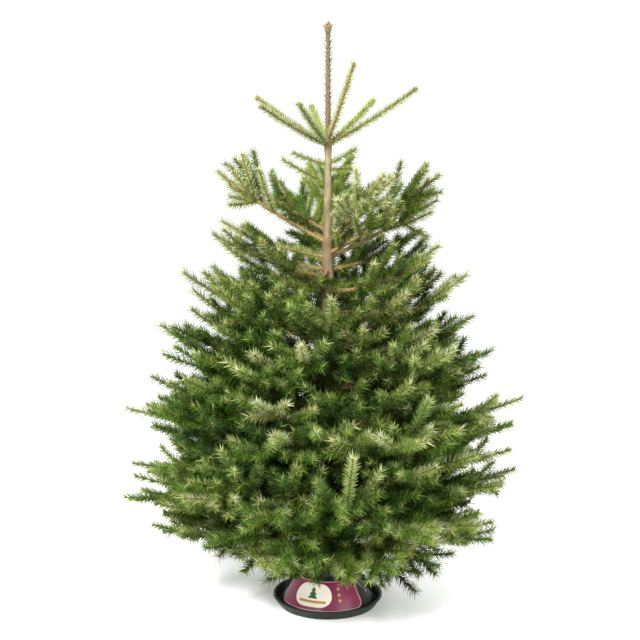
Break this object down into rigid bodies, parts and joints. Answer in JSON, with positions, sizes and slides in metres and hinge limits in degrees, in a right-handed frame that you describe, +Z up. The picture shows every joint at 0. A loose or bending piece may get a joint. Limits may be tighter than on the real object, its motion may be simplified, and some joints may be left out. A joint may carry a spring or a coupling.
{
  "type": "cut fir christmas tree in a water stand",
  "caption": "Cut Nordmann-type fir Christmas tree: straight tapering trunk with leader and bud, whorls of boughs carrying fans of needles, standing in a round green plastic water stand.",
  "frame": {"origin": "middle of the stand's flat underside, on the floor", "axes": "+Z up along the trunk to the leader's bud; -Y is the side the tree is seen from; +X to that viewer's right"},
  "size_m": [1.3786, 1.2126, 2],
  "materials": {
    "bark": "rough grey-brown bark with resin blisters",
    "young_bark": "smooth orange-brown bark of young boughs",
    "needles": "waxy deep green needles, pale underneath",
    "fresh_needles": "waxy yellow-green needles of the newest shoots",
    "green_plastic": "injection-moulded polypropylene, very dark green, fine moulded texture",
    "plated_steel": "zinc-plated wire and rod"
  },
  "bodies": {
    "root": {"fifth_fan_1": "needles", "fifth_fan_2": "needles", "fifth_fan_3": "needles", "fifth_fan_4": "needles", "fifth_fan_5": "needles", "fifth_fan_6": "needles", "fourth_fan_1": "needles", "fourth_fan_2": "needles", "fourth_fan_3": "needles", "fourth_fan_4": "needles", "fourth_fan_5": "needles", "leading_shoot_1": "fresh_needles", "leading_shoot_2": "fresh_needles", "leading_shoot_3": "fresh_needles", "leading_shoot_4": "fresh_needles", "leading_shoot_5": "fresh_needles", "leading_shoot_6": "fresh_needles", "leading_shoot_7": "fresh_needles", "lowest_fan_1": "needles", "lowest_fan_2": "needles", "lowest_fan_3": "needles", "lowest_fan_4": "needles", "lowest_fan_5": "needles", "second_bough_1": "young_bark", "second_bough_2": "young_bark", "second_bough_3": "young_bark", "second_bough_4": "young_bark", "second_bough_5": "young_bark", "second_fan_1": "fresh_needles", "second_fan_2": "fresh_needles", "second_fan_3": "fresh_needles", "second_fan_4": "fresh_needles", "second_fan_5": "fresh_needles", "sixth_fan_1": "needles", "sixth_fan_2": "needles", "sixth_fan_3": "needles", "sixth_fan_4": "needles", "sixth_fan_5": "needles", "sixth_fan_6": "needles", "stand_cone": "green_plastic", "stand_pan": "green_plastic", "stand_screw_1": "plated_steel", "stand_screw_2": "plated_steel", "stand_screw_3": "plated_steel", "stand_screw_4": "plated_steel", "third_bough_1": "young_bark", "third_bough_2": "young_bark", "third_bough_3": "young_bark", "third_bough_4": "young_bark", "third_bough_5": "young_bark", "third_fan_1": "needles", "third_fan_2": "needles", "third_fan_3": "needles", "third_fan_4": "needles", "third_fan_5": "needles", "trunk": "bark", "upper_mid_fan_1": "needles", "upper_mid_fan_2": "needles", "upper_mid_fan_3": "needles", "upper_mid_fan_4": "needles"}
  },
  "joints": []
}
